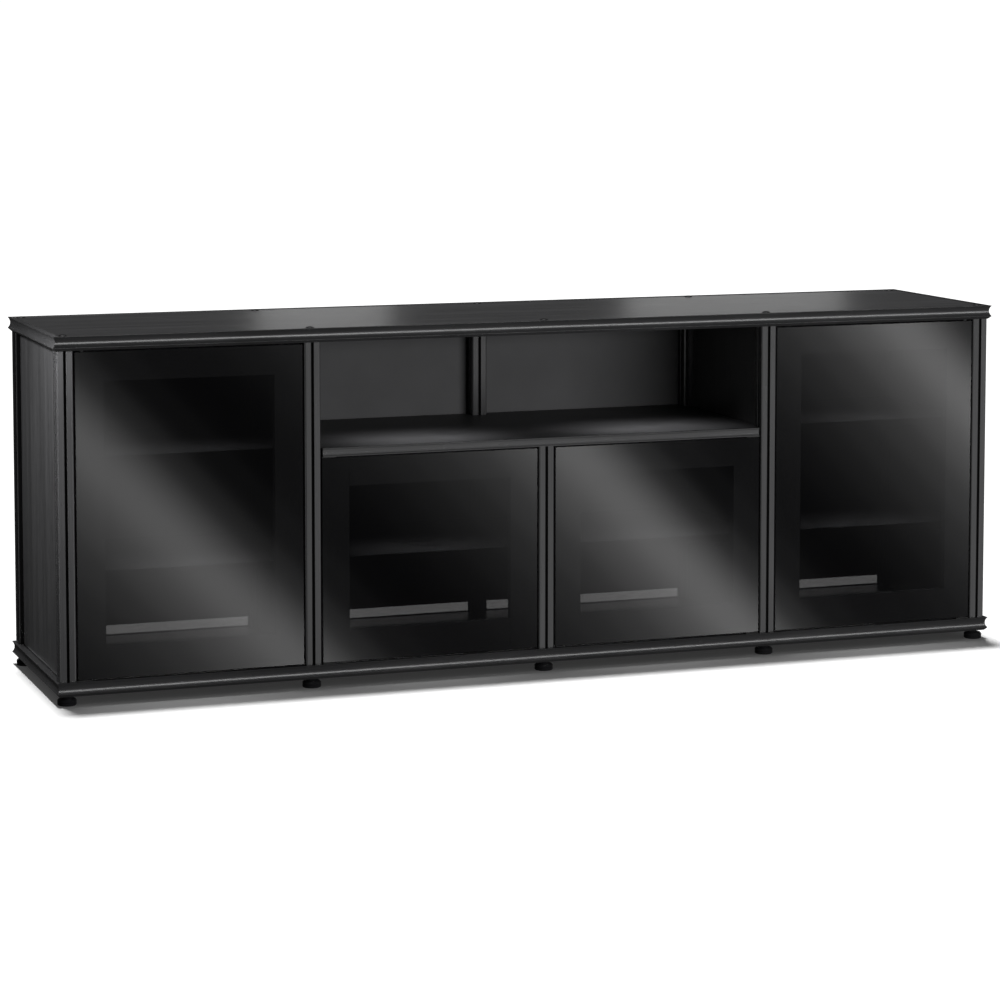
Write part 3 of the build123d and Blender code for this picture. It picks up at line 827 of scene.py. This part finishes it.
    def hang_streaks(self, studio):
        """One wide sheet in front of the doors, whose glow runs in slanted streaks."""
        material, tree = self.bare_material("studio_streaks")
        slant = 0.95  # sideways run of a streak for each metre of height
        stops = (     # place across one streak, and its brightness there
            (0.0, 0.006), (0.106, 0.022), (0.194, 0.055), (0.283, 0.115), (0.372, 0.21), (0.46, 0.38),
            (0.55, 0.70), (0.65, 1.0), (0.75, 0.36), (0.828, 0.085), (0.917, 0.022), (1.0, 0.006),
        )
        coordinates = add(tree, "ShaderNodeTexCoord")
        split = add(tree, "ShaderNodeSeparateXYZ")
        tree.links.new(coordinates.outputs["Object"], split.inputs["Vector"])
        slanted = combine(tree, "MULTIPLY", split.outputs["Y"], slant)
        across = combine(tree, "ADD", split.outputs["X"], slanted)
        phase = combine(tree, "FRACT", combine(tree, "DIVIDE", across, studio.streak_pitch))
        ramp = add(tree, "ShaderNodeValToRGB")
        ramp.color_ramp.interpolation = "CARDINAL"
        elements = ramp.color_ramp.elements
        while len(elements) < len(stops):
            elements.new(0.5)
        for element, (position, level) in zip(elements, stops):
            element.position = position
            element.color = (level, level, level, 1)
        tree.links.new(phase, ramp.inputs["Fac"])
        glow = add(tree, "ShaderNodeEmission")
        brighter_rightwards = spread(tree, split.outputs["X"], -2, 3, 0.78, 1.55)
        gain = combine(tree, "MULTIPLY", brighter_rightwards, studio.streaks)
        tree.links.new(gain, glow.inputs["Strength"])
        tree.links.new(ramp.outputs["Color"], glow.inputs["Color"])
        self.clear_glow(tree, glow)
        self.reflector("studio_streaks", (0.30, -1.6, -0.25), (7, 2.0), UPRIGHT, material, on_doors("glass"))

    def hang_cards(self):
        """Plain glowing sheets, mirrored in the panels, the rails and the posts."""
        levels = ("top", "bottom")
        rails = [NODES[f"{level}_{side}_rail"] for level in levels for side in ("front", "left", "right")]
        posts = [NODES[f"front_post_{number}"] for number in range(1, 6)]
        posts += [NODES["rear_posts"], NODES["centre_shelf_trim"]]
        top, bottom = [NODES["top_panel"]], [NODES["bottom_panel"]]
        endways = (math.pi / 2, 0, math.pi / 2)
        back_glow = self.plain_glow("studio_back_glow", 0.62)
        low_glow = self.plain_glow("studio_low_glow", 1.6)
        lip_glow = self.plain_glow("studio_lip_glow", 8.5)
        rib_glow = self.plain_glow("studio_rib_glow", 1.1)
        end_rib_glow = self.plain_glow("studio_end_rib_glow", 0.25)
        side_glow = self.plain_glow("studio_side_glow", 1.2)
        for card in (
            ("studio_back_left", (0.31, 2.5, 1.15), (0.42, 0.7), UPRIGHT, back_glow, top),
            ("studio_back_right", (1.68, 2.5, 1.15), (0.76, 0.7), UPRIGHT, back_glow, top),
            ("studio_back_low", (0, 0.8, 0.12), (3, 0.24), UPRIGHT, low_glow, bottom),
            ("studio_lip_card", (0, -2.4, 1.12), (7, 0.55), UPRIGHT, lip_glow, rails),
            ("studio_rib_card", (2.05, -1.68, 0), (5, 2.6), UPRIGHT, rib_glow, posts),
            ("studio_end_rib_card", (-2.2, -1.76, 0), (3.5, 2.6), UPRIGHT, end_rib_glow, posts),
            ("studio_side_card", (-3.4, -1.4, 0.5), (1.4, 2.0), endways, side_glow, posts),
        ):
            self.reflector(*card)

    def hang_lamps(self, floor):
        """The sun overhead, the large lamps round the cabinet and the small ones over its shelves."""
        deselect()
        bpy.ops.object.light_add(type="SUN", location=(0, 0, 3), rotation=(math.radians(-7.5), 0, 0))
        sun = bpy.context.active_object
        sun.name = "studio_overhead"
        sun.data.energy = 4.0
        sun.data.angle = math.radians(5)

        key_setting = ((1.7, -4.8, 0.95), (-0.1, 0, 0.5), (2.8, 1.0))
        frames = on_doors("frame")
        key = self.area_light("studio_key", *key_setting, 330)
        key.light_linking.receiver_collection = self.leave_out("studio_key_spared", [floor, *frames])
        frame_fill = self.area_light("studio_frame_fill", *key_setting, 540)
        frame_fill.light_linking.receiver_collection = self.gather("studio_frames", frames)
        frame_fill.light_linking.blocker_collection = self.leave_out("studio_panes", on_doors("glass"))

        under_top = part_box("top_panel")[0][2] - 5 * MM
        under_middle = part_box("centre_shelf")[0][2] - 7 * MM
        outer, inner = 1.4, 0.6
        shelf_lamps = [("upper", under_top, power) for power in (outer, inner, inner, outer)]
        shelf_lamps += [("middle", under_middle, outer) for _ in DOORS]
        for index, (level, z, power) in enumerate(shelf_lamps):
            bay = index % len(DOORS)
            x = (bay - 1.5) * POST_PITCH
            lamp = self.area_light(
                f"studio_{level}_lamp_{bay + 1}", (x, -0.165, z), (x, -0.150, 0), (0.26, 0.04), power,
            )
            lamp.data.spread = math.radians(85)

        for name, place_at, target, size, power in (
            ("studio_back_fill", (-1.6, 4.2, 1.6), (0, 0.24, 0.4), (2.4, 1.2), 150),
            ("studio_right_fill", (4.6, 1.0, 1.2), (1.08, 0, 0.4), (1.6, 1.2), 60),
        ):
            fill = self.area_light(name, place_at, target, size, power)
            fill.light_linking.receiver_collection = self.leave_out(f"{name}_spared", [floor])

        deselect()
        bpy.ops.object.light_add(type="SPOT", location=(-1.44, -0.52, 1.02))
        spot = bpy.context.active_object
        spot.name = "studio_side_spot"
        spot.data.energy = 125
        spot.data.spot_size = math.radians(100)
        spot.data.spot_blend = 1.0
        spot.data.shadow_soft_size = 0.08
        spot.visible_camera = False
        spot.visible_glossy = False
        self.aim(spot, (-1.078, -0.22, 0.72))
        left_end = ("left_side_panel", "top_left_rail", "bottom_left_rail", "front_post_1")
        lit = [NODES[name] for name in left_end]
        spot.light_linking.receiver_collection = self.gather("studio_side_lit", lit)


# ------------------------------------------------------------------ sidebar
class CABINET_PT_sidebar(bpy.types.Panel):
    """Lists the cabinet's steps and settings"""

    bl_idname = "CABINET_PT_sidebar"
    bl_label = "Media Cabinet"
    bl_space_type = "VIEW_3D"
    bl_region_type = "UI"
    bl_category = "Cabinet"

    def draw(self, context):
        layout = self.layout
        for operator in OPERATORS:
            layout.operator(operator.bl_idname)
        scene = context.scene
        for group in (scene.cabinet_finish, scene.cabinet_edges, scene.cabinet_studio):
            column = layout.column()
            for name in group.__annotations__:
                column.prop(group, name)


GROUPS = (CabinetFinish, CabinetEdges, CabinetStudio)
OPERATORS = (
    CABINET_OT_frame,
    CABINET_OT_panels,
    CABINET_OT_back,
    CABINET_OT_shelves,
    CABINET_OT_doors,
    CABINET_OT_hardware,
    CABINET_OT_studio,
)


def register():
    for kind in (*GROUPS, *OPERATORS, CABINET_PT_sidebar):
        bpy.utils.register_class(kind)
    bpy.types.Scene.cabinet_finish = PointerProperty(type=CabinetFinish)
    bpy.types.Scene.cabinet_edges = PointerProperty(type=CabinetEdges)
    bpy.types.Scene.cabinet_studio = PointerProperty(type=CabinetStudio)


def unregister():
    del bpy.types.Scene.cabinet_studio
    del bpy.types.Scene.cabinet_edges
    del bpy.types.Scene.cabinet_finish
    for kind in reversed((*GROUPS, *OPERATORS, CABINET_PT_sidebar)):
        bpy.utils.unregister_class(kind)


def main():
    register()
    bpy.ops.cabinet.frame()
    bpy.ops.cabinet.panels()
    bpy.ops.cabinet.back()
    bpy.ops.cabinet.shelves()
    bpy.ops.cabinet.doors()
    bpy.ops.cabinet.hardware()
    bpy.ops.cabinet.studio()
    deselect()


if __name__ == "__main__":
    main()
